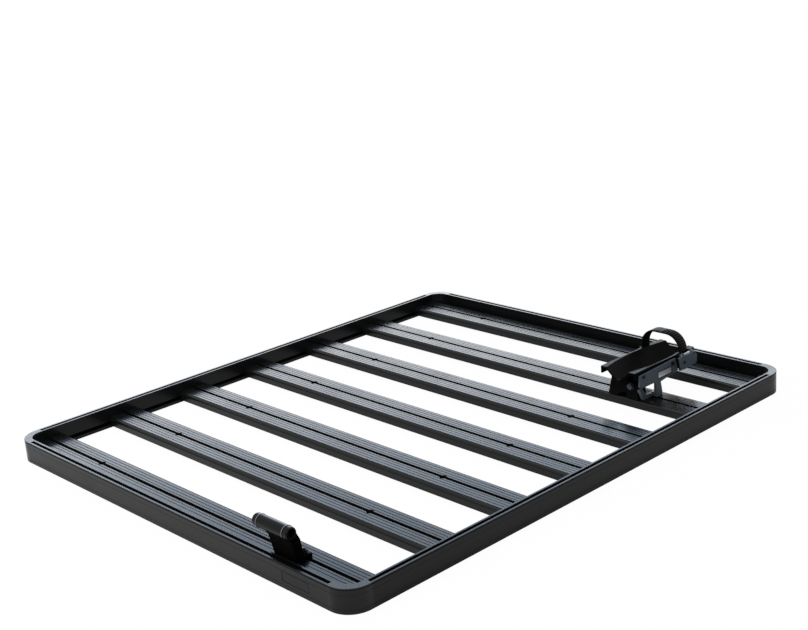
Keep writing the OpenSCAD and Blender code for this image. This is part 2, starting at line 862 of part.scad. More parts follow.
// Two folded ears on the cradle's left lip that hold the strap's end pin
module strap_anchor() {
    ear_x = strap_mid_x + eye_r + 1;
    bar_z = anchor_z - eye_r - 1 - frame_t;
    color(c_cast) at_strap() difference() {
        for (m = [0, 1])
            mirror([0, m, 0]) {
                translate([-half_w - frame_t, strap_w / 2 + 0.5, cradle_deck_z - cradle_lip_h])
                    cube([frame_t, cheek_in + 14 - strap_w / 2, cradle_lip_h - 1]);
                translate([-ear_x, strap_w / 2 + 0.5, bar_z])
                    cube([ear_x - half_w - seat_gap, frame_t, cradle_deck_z - 1 - bar_z]);
                translate([-ear_x, -1, bar_z])
                    cube([ear_x - half_w - seat_gap, strap_w / 2 + 2, frame_t]);
            }
        translate([-strap_mid_x, 0, anchor_z]) rod_y(-strap_w, strap_w, anchor_pin_d + 2 * run_gap);
        translate([0, -strap_back, 0]) anchor_screw_places()
            rod_x(-3 * frame_t, frame_t, screw_d + 2 * seat_gap);
    }
}

module anchor_pin() {
    half = strap_w / 2 + 0.5 + frame_t;
    color(c_steel) at_strap() translate([-strap_mid_x, 0, anchor_z]) {
        rod_y(-half - 1, half + 1, anchor_pin_d);
        rod_y(half + 0.2, half + 1.5, anchor_pin_d + 0.8);
        rod_y(-half - 1.5, -half - 0.2, anchor_pin_d + 0.8);
    }
}

module anchor_screws() {
    color(c_steel) at_holder() anchor_screw_places()
        mirror([1, 0, 0]) translate([frame_t, 0, 0]) side_screw(frame_t + cradle_t + 1);
}

// Folded buckle frame: a back plate on the cradle's right lip and two cheeks
module buckle_frame() {
    color(c_cast) at_strap() difference() {
        union() {
            translate([half_w, -cheek_in - cheek_t, frame_low])
                cube([frame_t, cheek_in + cheek_t + frame_ear, cradle_deck_z + 1 - frame_low]);
            for (m = [0, 1])
                mirror([0, m, 0]) along_y(cheek_in, cheek_in + cheek_t)
                    polygon([[half_w, frame_low], [cheek_out_x - 3, frame_low],
                             [cheek_out_x, frame_low + 5], [cheek_out_x, frame_high - 4],
                             [cheek_out_x - 4, frame_high], [strap_out, frame_high],
                             [half_w, cradle_deck_z + 1]]);
        }
        translate([lever_px, 0, lever_pz]) rod_y(-2 * cheek_in, 2 * cheek_in, pin_d + 2 * run_gap);
        translate([lock_px, 0, lock_pz]) rod_y(-2 * cheek_in, 2 * cheek_in, pin_d - 1 + 2 * run_gap);
        translate([0, -strap_back, 0]) buckle_screw_places()
            rod_x(-frame_t, 2 * frame_t, screw_d + 2 * seat_gap);
    }
}

module buckle_screws() {
    color(c_steel) at_holder() buckle_screw_places()
        translate([frame_t, 0, 0]) side_screw(frame_t + cradle_t + 1);
}

// Pin with a head outside each cheek
module cheek_pin(d) {
    out = cheek_in + cheek_t;
    rod_y(-out - 1, out + 1, d);
    rod_y(out + 0.2, out + 1.6, d + 2);
    rod_y(-out - 1.6, -out - 0.2, d + 2);
}

module lever_pin() {
    color(c_steel) at_strap() translate([lever_px, 0, lever_pz]) cheek_pin(pin_d);
}

module lock_pin() {
    color(c_steel) at_strap() translate([lock_px, 0, lock_pz]) cheek_pin(pin_d - 1);
}

// Wide thumb plate with two ears on the lever pin
module ratchet_lever() {
    front = -lever_l / 2 - 3;
    rear = front + lever_l;
    color(c_grey) at_strap() difference() {
        union() {
            along_x(lever_x, lever_x + lever_t) translate([0, lever_pz])
                polygon([[front, 0], [rear - 10, 0], [rear, -8], [rear, 4 - lever_h],
                         [rear - 4, -lever_h], [front + 10, -lever_h]]);
            for (m = [0, 1])
                mirror([0, m, 0]) along_y(ear_out - ear_t, ear_out) {
                    translate([lever_px, lever_pz]) circle(5);
                    translate([drive_px, drive_pz]) circle(3.6);
                    polygon([[lever_px - 4, lever_pz - 2], [lever_x + 0.5, lever_pz],
                             [lever_x + 0.5, drive_pz - 14], [drive_px - 2, drive_pz - 2.6]]);
                }
        }
        translate([lever_px, 0, lever_pz]) rod_y(-lever_l, lever_l, pin_d + 2 * run_gap);
        translate([drive_px, 0, drive_pz]) rod_y(-ear_out - 1, ear_out + 1, pin_d - 2 + 2 * run_gap);
        translate([lever_x - 1, -16, lever_pz - lever_h * 0.55]) rod_x(0, lever_t + 2, 9);
        // Notches that let the plate swing past the cheeks
        for (m = [0, 1])
            mirror([0, m, 0]) translate([lever_x - 1, cheek_in - 0.5, lever_pz - 6.5])
                cube([lever_t + 2, cheek_t + 1, 8]);
    }
}

module drive_pin() {
    color(c_steel) at_strap() translate([drive_px, 0, drive_pz]) rod_y(-ear_out, ear_out, pin_d - 2);
}

// Pawl on the lever, parked clear of the ribs while the lever is closed
module drive_pawl() {
    tip_x = rib_out + 0.5;
    color(c_steel) at_strap() difference() {
        union() {
            translate([drive_px, 0, drive_pz]) rod_y(-drive_half, drive_half, 5.6);
            along_y(-drive_half, drive_half)
                polygon([[tip_x, drive_pz + 3.6], [tip_x, drive_pz + 5], [tip_x + 2, drive_pz + 4.6],
                         [drive_px + 1.5, drive_pz + 2], [drive_px - 1, drive_pz - 2.4]]);
        }
        translate([drive_px, 0, drive_pz]) rod_y(-lever_l, lever_l, pin_d - 2 + 2 * run_gap);
    }
}

// Pawl in the frame whose tooth stands between two ribs, with a release tab below
module lock_pawl() {
    tip_x = rib_out - 0.7;
    low = tooth_z - tooth_t / 2 - 0.4;
    color(c_steel) at_strap() difference() {
        union() {
            translate([lock_px, 0, lock_pz]) rod_y(-lock_half, lock_half, 8);
            along_y(-lock_half, lock_half)
                polygon([[rib_out + 0.6, low], [tip_x, low], [tip_x, low + tooth_t],
                         [lock_px - 1, low + tooth_t], [lock_px + 3.6, lock_pz + 1.5],
                         [lock_px + 3.2, lock_pz - 9],
                         [lock_px + 1.4, lock_pz - 9], [lock_px - 3, lock_pz]]);
        }
        translate([lock_px, 0, lock_pz]) rod_y(-lever_l, lever_l, pin_d - 1 + 2 * run_gap);
    }
}

// Torsion spring: one round wire swept along a helix about Y with a straight leg at each end
spring_wire = 0.9;
spring_turns = 3;
spring_pitch = 1.4;
spring_steps = 14;
spring_sides = 6;

function spring_path(r, leg, turn) = concat(
    [[r, 0, -leg]],
    [for (i = [0 : spring_turns * spring_steps + turn])
        let (a = 360 * i / spring_steps)
            [r * cos(a), spring_pitch * i / spring_steps, r * sin(a)]],
    let (a = 360 * turn / spring_steps, y = spring_pitch * (spring_turns + turn / spring_steps))
        [[r * cos(a) - leg * sin(a), y, r * sin(a) + leg * cos(a)]]);

function ring(p, along) =
    let (t = along / norm(along), u = cross(t, [0, 1, 0.01]), v = u / norm(u), w = cross(t, v))
        [for (k = [0 : spring_sides - 1])
            let (a = 360 * k / spring_sides)
                p + spring_wire / 2 * (cos(a) * v + sin(a) * w)];

// Least gap of a spring to itself, from points of its wire at least half a turn apart
function least_gap(path) = min([for (i = [0 : len(path) - 1], j = [i + spring_steps / 2 : len(path) - 1])
    norm(path[i] - path[j])]) - spring_wire;

module torsion_spring(r, leg, turn) {
    path = spring_path(r, leg, turn);
    echo(spring_gap = least_gap(path));
    n = len(path);
    rings = [for (i = [0 : n - 1]) ring(path[i], path[min(i + 1, n - 1)] - path[max(i - 1, 0)])];
    points = [for (q = rings) each q];
    m = spring_sides;
    sides = [for (i = [0 : n - 2], k = [0 : m - 1])
        each [[i * m + k, i * m + (k + 1) % m, (i + 1) * m + k],
              [i * m + (k + 1) % m, (i + 1) * m + (k + 1) % m, (i + 1) * m + k]]];
    caps = [for (k = [1 : m - 2])
        each [[0, k + 1, k], [(n - 1) * m, (n - 1) * m + k, (n - 1) * m + k + 1]]];
    polyhedron(points, concat(sides, caps));
}

module lock_spring() {
    color(c_steel) at_strap() translate([lock_px, lock_half + 0.75, lock_pz])
        torsion_spring(pin_d / 2 + 0.3, 4.5, 4);
}

module drive_spring() {
    color(c_steel) at_strap() translate([drive_px, drive_half + 0.75, drive_pz])
        torsion_spring(pin_d / 2 - 0.4, 3, 4);
}

front_rail();
rear_rail();
left_rail();
right_rail();
corner_front_left();
corner_front_right();
corner_rear_left();
corner_rear_right();
slat(1);  // slat_1
slat(2);  // slat_2
slat(3);  // slat_3
slat(4);  // slat_4
slat(5);  // slat_5
slat(6);  // slat_6
slat(7);  // slat_7
slat_screws();
corner_set_screws();
badge_plate();
fork_bracket();
fork_barrel();
adapter_left();
adapter_right();
barrel_rings();
fork_bolts();
fork_washers();
fork_nuts();
holder_base();
clamp_bolt();
holder_bolts();
holder_washers();
holder_nuts();
wheel_cradle();
cradle_screws();
side_bracket();
bracket_screws();
label_plate();
buckle_frame();
buckle_screws();
lever_pin();
ratchet_lever();
drive_pawl();
drive_pin();
drive_spring();
lock_pawl();
lock_pin();
lock_spring();
strap();
strap_anchor();
anchor_pin();
anchor_screws();
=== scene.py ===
import bpy
import json
import math
from mathutils import Matrix, Vector


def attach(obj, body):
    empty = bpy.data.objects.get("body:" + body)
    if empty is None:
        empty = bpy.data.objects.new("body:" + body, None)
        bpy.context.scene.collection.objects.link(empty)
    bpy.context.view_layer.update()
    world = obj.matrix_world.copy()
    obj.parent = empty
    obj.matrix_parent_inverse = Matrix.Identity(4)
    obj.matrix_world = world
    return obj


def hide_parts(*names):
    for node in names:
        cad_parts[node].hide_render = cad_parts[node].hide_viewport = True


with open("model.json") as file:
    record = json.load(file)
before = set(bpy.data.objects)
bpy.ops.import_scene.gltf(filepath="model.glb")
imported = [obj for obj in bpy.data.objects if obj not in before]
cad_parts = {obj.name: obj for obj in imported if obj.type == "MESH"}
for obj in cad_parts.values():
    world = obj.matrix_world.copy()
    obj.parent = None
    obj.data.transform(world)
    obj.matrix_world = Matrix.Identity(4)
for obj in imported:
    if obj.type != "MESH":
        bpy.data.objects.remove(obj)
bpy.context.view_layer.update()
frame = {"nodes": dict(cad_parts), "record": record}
nodes = frame["nodes"]
bpy.ops.object.select_all(action="DESELECT")
print("frame loaded:", len(nodes), "nodes")

mm = 0.001
railNames = [name for name in nodes if name.endswith("_rail")]
slatNames = [name for name in nodes if name.startswith("slat_") and name != "slat_screws"]


# one node with its socket values or links; on a Mix node 6 and 7 are its two colours, and 2 is the result
def addNode(tree, kind, inputs=None, **settings):
    node = tree.nodes.new(kind)
    for name, value in settings.items():
        setattr(node, name, value)
    for name, value in (inputs or {}).items():
        if isinstance(value, bpy.types.NodeSocket):
            tree.links.new(value, node.inputs[name])
        else:
            node.inputs[name].default_value = value
    return node


# sRGB hex to linear colour
def linear(hexText):
    parts = [int(hexText[i:i + 2], 16) / 255 for i in (0, 2, 4)]
    return tuple(c / 12.92 if c <= 0.04045 else ((c + 0.055) / 1.055) ** 2.4 for c in parts) + (1.0,)


def startMaterial(name):
    material = bpy.data.materials.new(name)
    material.use_nodes = True
    tree = material.node_tree
    tree.nodes.clear()
    place = addNode(tree, "ShaderNodeTexCoord").outputs["Object"]
    return material, tree, place


def endMaterial(tree, shader):
    addNode(tree, "ShaderNodeOutputMaterial", {"Surface": shader.outputs[0]})


# camera at the photograph's place, in metres; the three directions are its own axes
cameraView = {
    "place": (2.1979, -1.9809, 1.1958),
    "right": (0.68802, 0.72213, -0.07209),
    "up": (-0.17171, 0.25850, 0.95064),
    "back": (0.70511, -0.64166, 0.30184),
    "sensor": 36,
    "lens": 61.605,
    "farthest": 100,
}
cameraData = bpy.data.cameras.new("photoCamera")
cameraData.sensor_fit = "HORIZONTAL"
cameraData.sensor_width = cameraView["sensor"]
cameraData.lens = cameraView["lens"]
cameraData.clip_end = cameraView["farthest"]
photoCamera = bpy.data.objects.new("photoCamera", cameraData)
bpy.context.scene.collection.objects.link(photoCamera)
turn = Matrix((cameraView["right"], cameraView["up"], cameraView["back"])).transposed().to_4x4()
photoCamera.matrix_world = Matrix.Translation(cameraView["place"]) @ turn
bpy.context.scene.camera = photoCamera
bpy.context.scene.view_settings.view_transform = "Standard"

# soft boxes, in metres and watts, all turned to the origin:
# a long low one behind that the slats mirror, a cool one above it, one overhead and one in front
softBoxes = {
    "lowBackSoftBox": {"place": (-4.4, 3.3, 1.5), "size": (7.0, 1.6), "power": 134, "colour": "f6f9ff"},
    "coolBackSoftBox": {"place": (-3.8, 3.4, 3.0), "size": (7.0, 1.8), "power": 68, "colour": "a6d4ff"},
    "topSoftBox": {"place": (-0.3, -0.2, 3.6), "size": (3.0, 3.0), "power": 60, "colour": "f4f8ff"},
    "frontSoftBox": {"place": (-0.3, -3.2, 2.6), "size": (2.2, 2.2), "power": 62, "colour": "fff8f0"},
}
for name, box in softBoxes.items():
    lamp = bpy.data.lights.new(name, "AREA")
    lamp.shape = "RECTANGLE"
    lamp.size, lamp.size_y = box["size"]
    lamp.energy = box["power"]
    lamp.color = linear(box["colour"])[:3]
    lampObject = bpy.data.objects.new(name, lamp)
    lampObject.location = box["place"]
    lampObject.rotation_mode = "QUATERNION"
    lampObject.rotation_quaternion = (-Vector(box["place"])).to_track_quat("-Z", "Y")
    lampObject.visible_camera = False
    bpy.context.scene.collection.objects.link(lampObject)

# white studio: full white to the eye and in reflections, softer as light
studio = {
    "white": "ffffff", "light": 0.4, "floorPaint": "f2f2f2", "floorWhite": 0.97, "floorMirrored": 0.25,
    "floorSize": 60, "floorDrop": 0.6, "fadeFrom": 1.2, "fadeTo": 6.0,
}
world = bpy.data.worlds.new("whiteStudio")
bpy.context.scene.world = world
world.use_nodes = True
tree = world.node_tree
tree.nodes.clear()
ray = addNode(tree, "ShaderNodeLightPath").outputs
seen = addNode(tree, "ShaderNodeMath",
               {0: ray["Is Camera Ray"], 1: ray["Is Glossy Ray"]}, operation="MAXIMUM")
seen = addNode(tree, "ShaderNodeMath",
               {0: seen.outputs[0], 1: ray["Is Transmission Ray"]}, operation="MAXIMUM")
strength = addNode(tree, "ShaderNodeMapRange",
                   {"Value": seen.outputs[0], "To Min": studio["light"], "To Max": 1.0})
glow = addNode(tree, "ShaderNodeBackground",
               {"Color": linear(studio["white"]), "Strength": strength.outputs[0]})
addNode(tree, "ShaderNodeOutputWorld", {"Surface": glow.outputs[0]})

# The floor is nearly white to the eye, with a faint shade under the tray, and fades to full white far away.
# Reflections show a part of that white, and for the rest the lit paint with the shade beside the tray.
floorMaterial, tree, place = startMaterial("whiteStudioFloor")
ray = addNode(tree, "ShaderNodeLightPath").outputs
seen = addNode(tree, "ShaderNodeMath",
               {0: ray["Is Camera Ray"], 1: ray["Is Transmission Ray"]}, operation="MAXIMUM")
distance = addNode(tree, "ShaderNodeVectorMath", {0: place}, operation="LENGTH")
white = addNode(tree, "ShaderNodeMapRange",
                {"Value": distance.outputs["Value"], "From Min": studio["fadeFrom"],
                 "From Max": studio["fadeTo"], "To Min": studio["floorWhite"], "To Max": 1.0})
share = addNode(tree, "ShaderNodeMath", {0: seen.outputs[0], 1: white.outputs[0]}, operation="MULTIPLY")
mirrored = addNode(tree, "ShaderNodeMath",
                   {0: ray["Is Glossy Ray"], 1: studio["floorMirrored"]}, operation="MULTIPLY")
share = addNode(tree, "ShaderNodeMath", {0: share.outputs[0], 1: mirrored.outputs[0]}, operation="MAXIMUM")
paint = addNode(tree, "ShaderNodeBsdfDiffuse", {"Color": linear(studio["floorPaint"])})
glow = addNode(tree, "ShaderNodeEmission", {"Color": linear(studio["white"]), "Strength": 1.0})
shader = addNode(tree, "ShaderNodeMixShader", {0: share.outputs[0], 1: paint.outputs[0], 2: glow.outputs[0]})
endMaterial(tree, shader)
bpy.ops.mesh.primitive_plane_add(size=studio["floorSize"], location=(0, 0, -studio["floorDrop"] * mm))
studioFloor = bpy.context.object
studioFloor.name = "studioFloor"
bpy.ops.object.transform_apply(location=True, rotation=True, scale=True)
studioFloor.data.materials.append(floorMaterial)
bpy.ops.object.select_all(action="DESELECT")
print("camera, lamps and floor set")

noiseSpan = (0.3, 0.7)  # most values of a noise texture lie between these

# Powder coated aluminium extrusion: satin black with a fine pebble, and faint draw lines along its length.
# The pebble is about 0.4 mm on the real coat; it is drawn at 1.6 mm so that it shows. Sizes are in mm.
extrusionCoat = {
    "colour": "0d0e0f", "rough": (0.20, 0.28), "cloud": 90,
    "ior": (1.30, 1.26),  # for pieces along x and along y: the side rails' lower value is painted shade that darkens their faces
    "pebble": 1.6, "pebbleBump": 0.05, "pebbleDeep": 0.3,
    "lineSpacing": 1.2, "lineLength": 260, "lineShade": (0.75, 1.3), "lineBump": 0.10, "lineDeep": 0.2,
}


# along: 0 for a piece along x, 1 for one along y
def extrusionMaterial(name, along):
    coat = extrusionCoat
    material, tree, place = startMaterial(name)
    stretch = [1 / (coat["lineSpacing"] * mm)] * 3
    stretch[along] = 1 / (coat["lineLength"] * mm)
    drawn = addNode(tree, "ShaderNodeMapping", {"Vector": place, "Scale": stretch})
    lines = addNode(tree, "ShaderNodeTexNoise", {"Vector": drawn.outputs[0], "Scale": 1.0, "Detail": 2.0})
    pebble = addNode(tree, "ShaderNodeTexNoise",
                     {"Vector": place, "Scale": 1 / (coat["pebble"] * mm), "Detail": 3.0, "Roughness": 0.6})
    cloud = addNode(tree, "ShaderNodeTexNoise",
                    {"Vector": place, "Scale": 1 / (coat["cloud"] * mm), "Detail": 2.0})
    shade = addNode(tree, "ShaderNodeMapRange",
                    {"Value": lines.outputs["Fac"],
                     "To Min": coat["lineShade"][0], "To Max": coat["lineShade"][1]})
    colour = addNode(tree, "ShaderNodeMix",
                     {"Factor": 1.0, 6: linear(coat["colour"]), 7: shade.outputs[0]},
                     data_type="RGBA", blend_type="MULTIPLY")
    rough = addNode(tree, "ShaderNodeMapRange",
                    {"Value": cloud.outputs["Fac"], "From Min": noiseSpan[0], "From Max": noiseSpan[1],
                     "To Min": coat["rough"][0], "To Max": coat["rough"][1]})
    fine = addNode(tree, "ShaderNodeBump",
                   {"Height": pebble.outputs["Fac"], "Strength": coat["pebbleBump"],
                    "Distance": coat["pebbleDeep"] * mm})
    bump = addNode(tree, "ShaderNodeBump",
                   {"Height": lines.outputs["Fac"], "Strength": coat["lineBump"],
                    "Distance": coat["lineDeep"] * mm, "Normal": fine.outputs[0]})
    shader = addNode(tree, "ShaderNodeBsdfPrincipled",
                     {"Base Color": colour.outputs[2], "Roughness": rough.outputs[0],
                      "IOR": coat["ior"][along], "Normal": bump.outputs[0]})
    endMaterial(tree, shader)
    return material


acrossCoat = extrusionMaterial("powderCoatedExtrusionAcross", 0)
alongCoat = extrusionMaterial("powderCoatedExtrusionAlong", 1)


# Textured finishes that share one build: two tones, a grain of a real size, a mottle and a gloss
def grainMaterial(name, finish):
    material, tree, place = startMaterial(name)
    grain = addNode(tree, "ShaderNodeTexNoise",
                    {"Vector": place, "Scale": 1 / (finish["grain"] * mm), "Detail": 4.0, "Roughness": 0.65})
    mottle = addNode(tree, "ShaderNodeTexNoise",
                     {"Vector": place, "Scale": 1 / (finish["mottle"] * mm), "Detail": 3.0})
    mixed = addNode(tree, "ShaderNodeMath",
                    {0: grain.outputs["Fac"], 1: mottle.outputs["Fac"]}, operation="MULTIPLY")
    colour = addNode(tree, "ShaderNodeMix",
                     {"Factor": mixed.outputs[0], 6: linear(finish["dark"]), 7: linear(finish["light"])},
                     data_type="RGBA")
    rough = addNode(tree, "ShaderNodeMapRange",
                    {"Value": mottle.outputs["Fac"], "From Min": noiseSpan[0], "From Max": noiseSpan[1],
                     "To Min": finish["rough"][0], "To Max": finish["rough"][1]})
    bump = addNode(tree, "ShaderNodeBump",
                   {"Height": grain.outputs["Fac"], "Strength": finish["bump"],
                    "Distance": finish["depth"] * mm})
    shader = addNode(tree, "ShaderNodeBsdfPrincipled",
                     {"Base Color": colour.outputs[2], "Roughness": rough.outputs[0],
                      "Metallic": finish["metallic"], "Normal": bump.outputs[0]})
    if "ior" in finish:
        shader.inputs["IOR"].default_value = finish["ior"]
    endMaterial(tree, shader)
    return material


# grain, mottle and depth in mm; most of these grains are finer in fact, and are drawn this coarse to show
finishes = {
    # cast corner with a coarse wrinkle coat: a little duller than the rails, a sandy look
    "wrinkleCoatedCasting": {
        "dark": "0d0e0f", "light": "1c1d1f", "grain": 1.1, "mottle": 14, "rough": (0.22, 0.30),
        "bump": 0.07, "depth": 0.3, "metallic": 0.0, "ior": 1.31},
    # cast and machined fork bracket with a dull coat: even deep black
    "dullCoatedCasting": {
        "dark": "050505", "light": "0b0b0c", "grain": 1.4, "mottle": 20, "rough": (0.34, 0.44),
        "bump": 0.08, "depth": 0.3, "metallic": 0.0, "ior": 1.08},
    # black anodised turned aluminium: a deep black with a sharp highlight along it
    "blackAnodisedAluminium": {
        "dark": "0a0b0c", "light": "121314", "grain": 0.9, "mottle": 12, "rough": (0.10, 0.15),
        "bump": 0.015, "depth": 0.1, "metallic": 0.0, "ior": 1.22},
    # turned aluminium rings, clear anodised: a dull silver line
    "turnedAluminium": {
        "dark": "5c5f63", "light": "85898d", "grain": 0.8, "mottle": 6, "rough": (0.3, 0.4),
        "bump": 0.04, "depth": 0.1, "metallic": 1.0},
    # glass-filled nylon, moulded with a spark-eroded grain: deep black with faint glints on the grain
    "mouldedNylon": {
        "dark": "040404", "light": "0d0d0e", "grain": 1.2, "mottle": 9, "rough": (0.26, 0.36),
        "bump": 0.10, "depth": 0.35, "metallic": 0.0, "ior": 1.10},
    # thermoplastic elastomer, moulded: soft black
    "mouldedElastomer": {
        "dark": "050505", "light": "0d0d0d", "grain": 0.8, "mottle": 7, "rough": (0.4, 0.5),
        "bump": 0.08, "depth": 0.2, "metallic": 0.0, "ior": 1.12},
    # the same elastomer on the ribs' tops, painted a dull grey as a highlight along each rib
    "rubbedElastomer": {
        "dark": "141415", "light": "242526", "grain": 0.8, "mottle": 7, "rough": (0.35, 0.45),
        "bump": 0.08, "depth": 0.2, "metallic": 0.0, "ior": 1.2},
    # folded steel with a dark grey powder coat: cool grey, fine orange peel
    "greyPowderCoatedSteel": {
        "dark": "434c55", "light": "5d6872", "grain": 1.5, "mottle": 11, "rough": (0.34, 0.44),
        "bump": 0.10, "depth": 0.3, "metallic": 0.0, "ior": 1.3},
    # pressed steel with a thin black coat: satin black, a little lighter than the nylon
    "blackCoatedSteel": {
        "dark": "08090a", "light": "141516", "grain": 1.0, "mottle": 10, "rough": (0.3, 0.4),
        "bump": 0.08, "depth": 0.2, "metallic": 0.0, "ior": 1.25},
    # zinc plated steel: bright, slightly cloudy passivation
    "zincPlatedSteel": {
        "dark": "9da1a6", "light": "d5d8db", "grain": 0.7, "mottle": 4, "rough": (0.26, 0.38),
        "bump": 0.02, "depth": 0.1, "metallic": 1.0},
    # black oxide rubbed by a spanner: grey steel shows through
    "rubbedOxideSteel": {
        "dark": "45474a", "light": "7b7e82", "grain": 0.9, "mottle": 3, "rough": (0.28, 0.4),
        "bump": 0.05, "depth": 0.1, "metallic": 1.0},
    # oiled black oxide on steel fasteners: near black with a metal glint
    "blackOxideSteel": {
        "dark": "1b1b1c", "light": "303133", "grain": 0.7, "mottle": 5, "rough": (0.28, 0.4),
        "bump": 0.05, "depth": 0.1, "metallic": 0.8},
}
made = {name: grainMaterial(name, finish) for name, finish in finishes.items()}

# Brushed anodised sheet: fine straight scratches along the plate, about 0.35 mm apart and 18 mm long
brushing = {"apart": 0.35, "long": 18, "bump": 0.15, "depth": 0.1, "metallic": 0.9}
brushedPlates = {
    "brushedDarkPlate": {"dark": "1c1d1f", "light": "2c2e30", "along": 0, "rough": 0.34},
    "brushedBrightPlate": {"dark": "d0d3d6", "light": "f4f6f8", "along": 1, "rough": 0.3},
}
for name, plate in brushedPlates.items():
    material, tree, place = startMaterial(name)
    stretch = [1 / (brushing["apart"] * mm)] * 3
    stretch[plate["along"]] = 1 / (brushing["long"] * mm)
    brushed = addNode(tree, "ShaderNodeMapping", {"Vector": place, "Scale": stretch})
    scratch = addNode(tree, "ShaderNodeTexNoise",
                      {"Vector": brushed.outputs[0], "Scale": 1.0, "Detail": 3.0})
    colour = addNode(tree, "ShaderNodeMix",
                     {"Factor": scratch.outputs["Fac"], 6: linear(plate["dark"]), 7: linear(plate["light"])},
                     data_type="RGBA")
    bump = addNode(tree, "ShaderNodeBump",
                   {"Height": scratch.outputs["Fac"], "Strength": brushing["bump"],
                    "Distance": brushing["depth"] * mm})
    shader = addNode(tree, "ShaderNodeBsdfPrincipled",
                     {"Base Color": colour.outputs[2], "Metallic": brushing["metallic"],
                      "Roughness": plate["rough"], "Normal": bump.outputs[0]})
    endMaterial(tree, shader)
    made[name] = material

# The grey coat with painted shade around the label, in mm: a black band over the recess and just past it,
# standing in for the recess's shade and framing the bright plate
labelRecessShade = {"wide": 2.6, "deep": 1.2, "ink": "010101"}
labelCorners = [Vector(corner) for corner in nodes["label_plate"].bound_box]
labelLow = Vector([min(corner[i] for corner in labelCorners) for i in range(3)])
labelHigh = Vector([max(corner[i] for corner in labelCorners) for i in range(3)])
labelMiddle = (labelLow + labelHigh) / 2
borderSpread = Vector((labelRecessShade["deep"], labelRecessShade["wide"], labelRecessShade["wide"])) * mm
recessShadeReach = (labelHigh - labelLow) / 2 + borderSpread
shadedCoat = made["greyPowderCoatedSteel"].copy()
shadedCoat.name = "greyPowderCoatedSteelPrinted"
tree = shadedCoat.node_tree
shader = next(node for node in tree.nodes if node.bl_idname == "ShaderNodeBsdfPrincipled")
coat = shader.inputs["Base Color"].links[0].from_socket
place = addNode(tree, "ShaderNodeTexCoord").outputs["Object"]
offset = addNode(tree, "ShaderNodeVectorMath", {0: place, 1: labelMiddle}, operation="SUBTRACT")
offset = addNode(tree, "ShaderNodeVectorMath", {0: offset.outputs[0]}, operation="ABSOLUTE")
beyond = addNode(tree, "ShaderNodeVectorMath", {0: offset.outputs[0], 1: recessShadeReach}, operation="SUBTRACT")
beyond = addNode(tree, "ShaderNodeSeparateXYZ", {0: beyond.outputs[0]}).outputs
most = addNode(tree, "ShaderNodeMath", {0: beyond[0], 1: beyond[1]}, operation="MAXIMUM")
most = addNode(tree, "ShaderNodeMath", {0: most.outputs[0], 1: beyond[2]}, operation="MAXIMUM")
# where this is below zero the coat is painted black: painted shade of the recess around the label
inRecessShade = addNode(tree, "ShaderNodeMath", {0: most.outputs[0], 1: 0.0}, operation="LESS_THAN")
colour = addNode(tree, "ShaderNodeMix",
                 {"Factor": inRecessShade.outputs[0], 6: coat, 7: linear(labelRecessShade["ink"])}, data_type="RGBA")
tree.links.new(colour.outputs[2], shader.inputs["Base Color"])
made["greyPowderCoatedSteelPrinted"] = shadedCoat

wears = {name: acrossCoat for name in ["front_rail", "rear_rail"] + slatNames}
wears.update({name: alongCoat for name in ["left_rail", "right_rail"]})
wears.update({name: made["wrinkleCoatedCasting"] for name in nodes if name.startswith("corner_")})
for finish, names in {
    "dullCoatedCasting": ["fork_bracket"],
    "blackAnodisedAluminium": ["fork_barrel", "adapter_left", "adapter_right"],
    "mouldedNylon": ["holder_base", "wheel_cradle"],
    "mouldedElastomer": ["strap"],
    "greyPowderCoatedSteel": ["ratchet_lever"],
    "greyPowderCoatedSteelPrinted": ["side_bracket"],
    "blackCoatedSteel": ["buckle_frame", "strap_anchor"],
    "turnedAluminium": ["barrel_rings"],
    "rubbedOxideSteel": ["clamp_bolt"],
    "zincPlatedSteel": [
        "lever_pin", "drive_pin", "drive_pawl", "drive_spring", "lock_pawl", "lock_pin", "lock_spring",
        "anchor_pin"],
    "blackOxideSteel": [
        "slat_screws", "corner_set_screws", "fork_bolts", "fork_washers", "fork_nuts", "holder_bolts",
        "holder_washers", "holder_nuts", "cradle_screws", "bracket_screws", "buckle_screws",
        "anchor_screws"],
    "brushedDarkPlate": ["badge_plate"],
    "brushedBrightPlate": ["label_plate"],
}.items():
    wears.update({name: made[finish] for name in names})
for name, node in nodes.items():
    node.data.materials.clear()
    node.data.materials.append(wears[name])
print("finishes given to", len(wears), "nodes")

bodyOf = {name: body for body, names in frame["record"]["behaviour"]["bodies"].items() for name in names}


# puts a finished piece in place of its CAD node
def standFor(piece, name):
    piece.data.materials.clear()
    piece.data.materials.append(wears[name])
    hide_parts(name)
    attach(piece, bodyOf[name])
    bpy.ops.object.select_all(action="DESELECT")


def makeActive(piece):
    bpy.ops.object.select_all(action="DESELECT")
    piece.select_set(True)
    bpy.context.view_layer.objects.active = piece


cleaning = {"merge": 0.002, "flatAngle": 0.6}  # mm and degrees
smoothing = {"sharpAngle": 32, "flatWeight": 100}


# a clean copy of a node's mesh: without its stored normals, and with its triangles merged into flat faces
def cleanCopy(name, ending):
    piece = bpy.data.objects.new(name + ending, nodes[name].data.copy())
    bpy.context.scene.collection.objects.link(piece)
    makeActive(piece)
    bpy.ops.mesh.customdata_custom_splitnormals_clear()
    bpy.ops.object.mode_set(mode="EDIT")
    bpy.ops.mesh.select_all(action="SELECT")
    bpy.ops.mesh.remove_doubles(threshold=cleaning["merge"] * mm)
    bpy.ops.mesh.dissolve_limited(angle_limit=math.radians(cleaning["flatAngle"]))
    bpy.ops.object.mode_set(mode="OBJECT")
    return piece


# smooth rounds beside faces that stay flat
def smoothRounds(piece):
    bpy.ops.object.shade_smooth_by_angle(angle=math.radians(smoothing["sharpAngle"]))
    flats = piece.modifiers.new("flats", "WEIGHTED_NORMAL")
    flats.weight = smoothing["flatWeight"]
    flats.keep_sharp = True
    bpy.ops.object.modifier_apply(modifier="flats")


